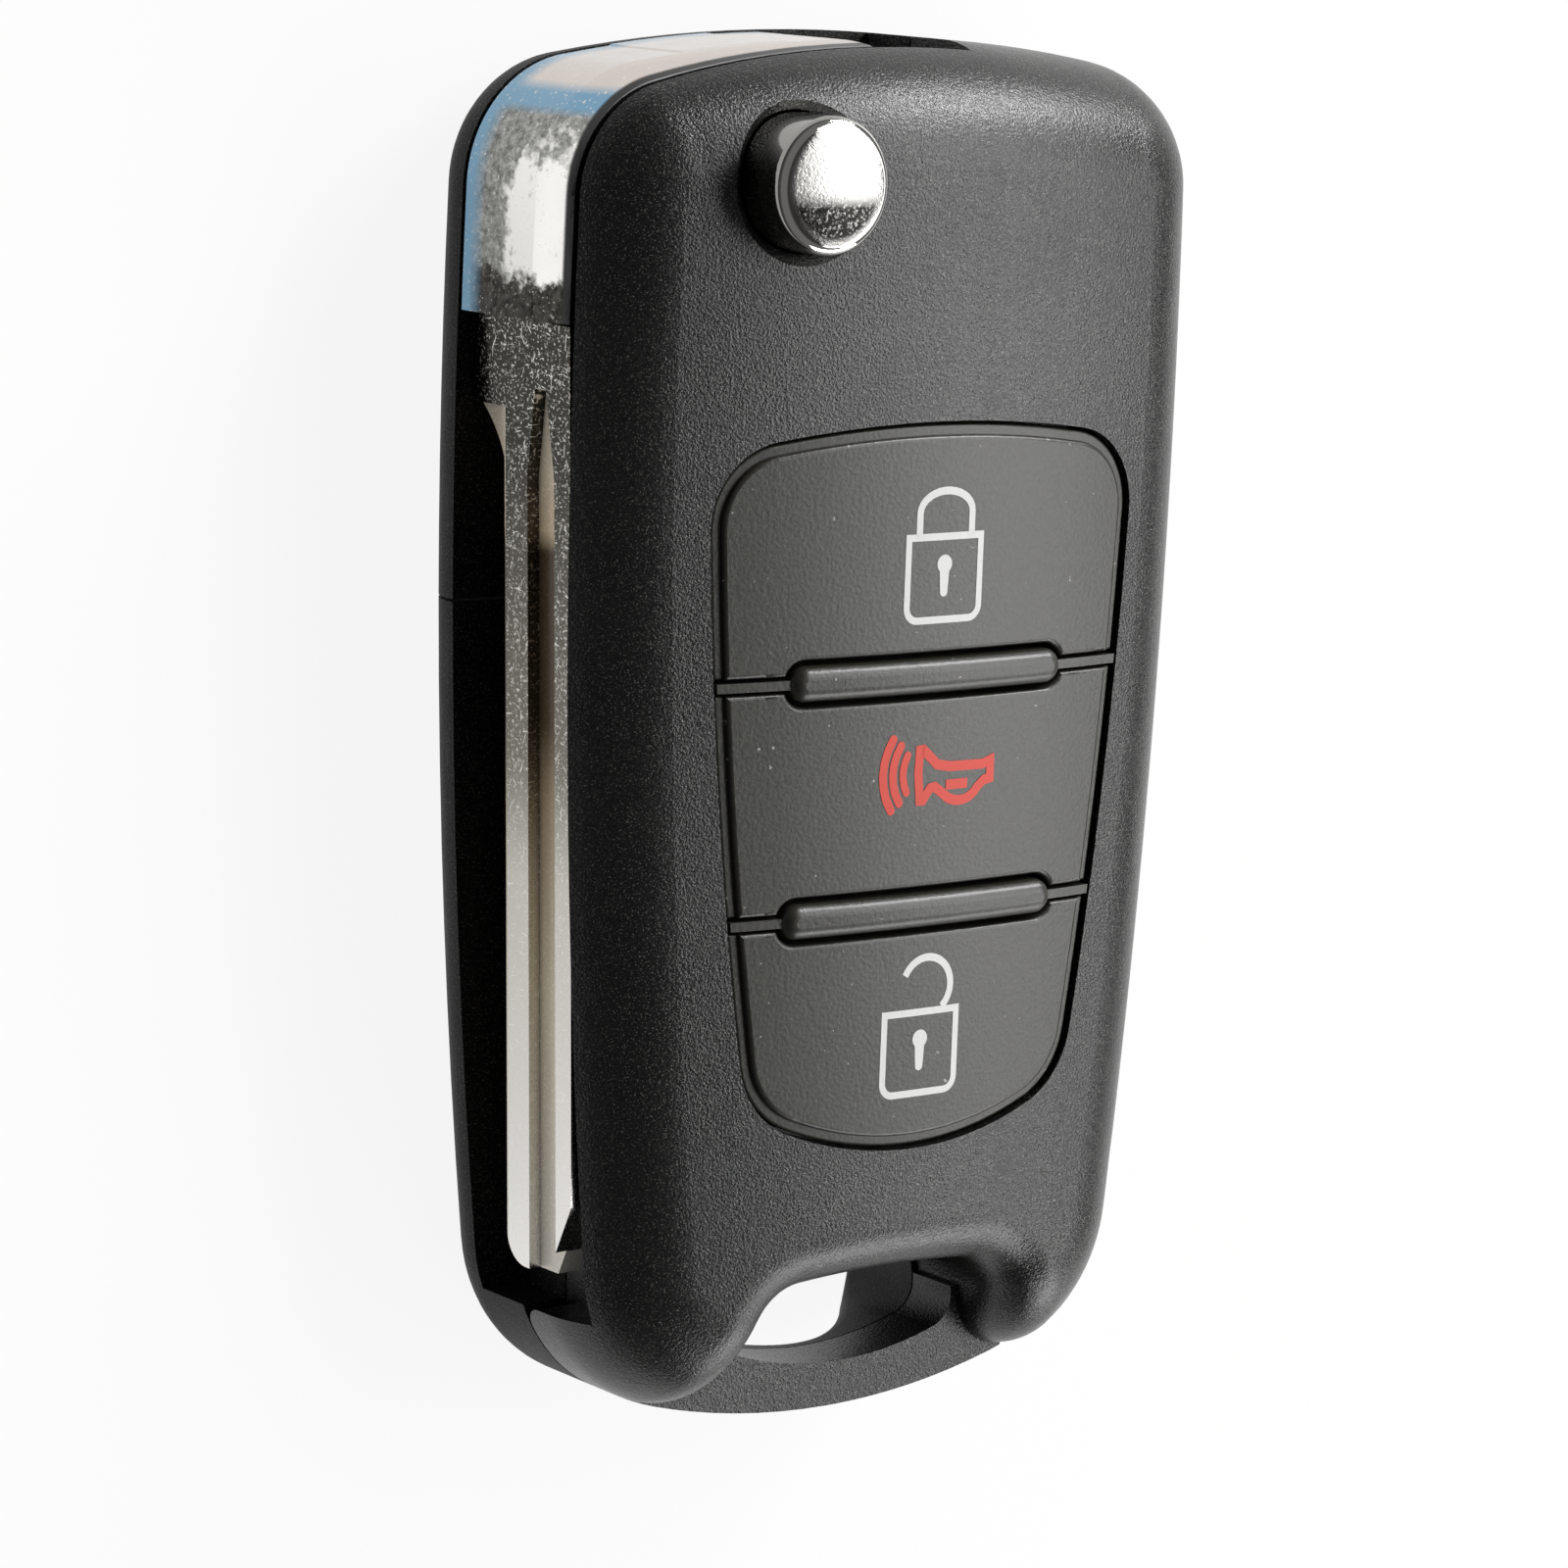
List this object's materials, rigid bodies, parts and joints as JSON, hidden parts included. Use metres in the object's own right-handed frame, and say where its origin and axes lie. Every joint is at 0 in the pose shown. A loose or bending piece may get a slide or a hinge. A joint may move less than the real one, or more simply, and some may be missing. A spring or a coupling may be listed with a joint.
{
  "type": "flip key fob",
  "caption": "Flip-out car key fob: black two-part case, folded blade on a polished pivot head, release button, keypad with three buttons and a keyring opening.",
  "frame": {"origin": "on the resting surface, under the middle of the fob's outline", "axes": "+X to the right and +Y towards the pivot end, both as seen from the buttons; +Z out of the buttons"},
  "size_m": [0.0426, 0.075, 0.0192],
  "materials": {
    "shell_black": "fine spark-eroded grain",
    "keypad_grey": "smooth satin",
    "membrane_rubber": "soft matt",
    "carrier_black": "moulded",
    "board_green": "solder mask",
    "switch_dark": "moulded",
    "chip_black": "moulded",
    "can_metal": "satin",
    "cell_steel": "brushed",
    "clip_nickel": "plated",
    "ceramic_black": "moulded ceramic-filled resin",
    "blade_nickel": "nickel plate with fine scratches",
    "pin_steel": "turned",
    "head_chrome": "polished, lightly pitted",
    "shaft_zinc": "die cast",
    "button_chrome": "frosted top, polished rim",
    "spring_steel": "spring wire"
  },
  "bodies": {
    "housing": {"front_shell": "shell_black", "rear_shell": "shell_black", "keypad_frame": "keypad_grey", "switch_membrane": "membrane_rubber", "board_carrier": "carrier_black", "circuit_board": "board_green", "lock_switch": "switch_dark", "panic_switch": "switch_dark", "unlock_switch": "switch_dark", "control_chip": "chip_black", "radio_chip": "chip_black", "crystal": "can_metal", "coin_cell": "cell_steel", "battery_clip_negative": "clip_nickel", "battery_clip_positive": "clip_nickel", "transponder_chip": "ceramic_black", "spring_cup": "pin_steel", "flip_spring": "spring_steel"},
    "blade": {"blade_head": "head_chrome", "key_blade": "blade_nickel", "blade_pin": "pin_steel"},
    "release": {"release_button": "button_chrome", "lock_shaft": "shaft_zinc"},
    "lock_key": {"lock_button": "keypad_grey"},
    "panic_key": {"panic_button": "keypad_grey"},
    "unlock_key": {"unlock_button": "keypad_grey"},
    "cover": {"battery_cover": "shell_black"}
  },
  "joints": [
    {"name": "blade_flip", "type": "hinge", "parent": "housing", "child": "blade", "pos_m": [-0.0085, 0.0303, 0.008], "axis": [0, 0, -1], "range_deg": [0, 182.2]},
    {"name": "release_press", "type": "slide", "parent": "housing", "child": "release", "axis": [0, 0, -1], "range_m": [0, 0.0018], "stiffness_N_per_m": 1500, "springref_m": -0.001, "deforming": ["flip_spring"]},
    {"name": "lock_press", "type": "slide", "parent": "housing", "child": "lock_key", "axis": [0, 0, -1], "range_m": [0, 0.00045], "stiffness_N_per_m": 2500, "springref_m": -0.0002},
    {"name": "panic_press", "type": "slide", "parent": "housing", "child": "panic_key", "axis": [0, 0, -1], "range_m": [0, 0.00045], "stiffness_N_per_m": 2500, "springref_m": -0.0002},
    {"name": "unlock_press", "type": "slide", "parent": "housing", "child": "unlock_key", "axis": [0, 0, -1], "range_m": [0, 0.00045], "stiffness_N_per_m": 2500, "springref_m": -0.0002},
    {"name": "cover_lift", "type": "slide", "parent": "housing", "child": "cover", "axis": [0, 0, -1], "range_m": [0, 0.02]}
  ]
}
